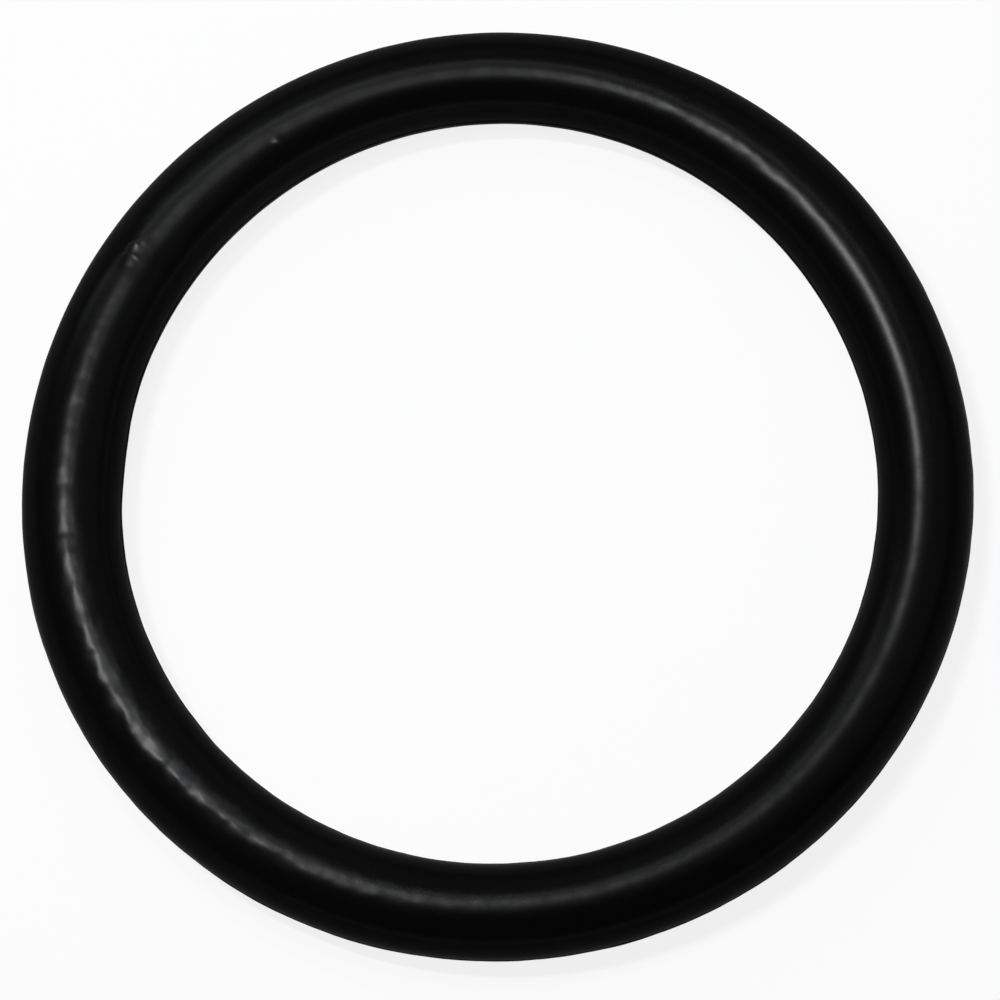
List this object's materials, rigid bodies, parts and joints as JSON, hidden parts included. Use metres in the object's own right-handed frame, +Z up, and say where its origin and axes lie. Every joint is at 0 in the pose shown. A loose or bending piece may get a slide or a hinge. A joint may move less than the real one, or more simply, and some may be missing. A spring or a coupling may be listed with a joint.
{
  "type": "rubber o-ring",
  "caption": "Black rubber o-ring of round section with a fine parting line inside and outside. It lies flat, and seals the gap between a shaft or spigot and its housing.",
  "frame": {"origin": "on the ring's axis, at the surface that the ring lies on", "axes": "+Z up along the ring's axis; X and Y lie in the ring's plane, and +Y points away from the camera of the picture"},
  "size_m": [0.0354, 0.0354, 0.0035],
  "materials": {
    "rubber": "black moulded rubber, semi-matt, with a fine grain and a few scuffs"
  },
  "bodies": {
    "root": {"o_ring": "rubber"}
  },
  "joints": []
}
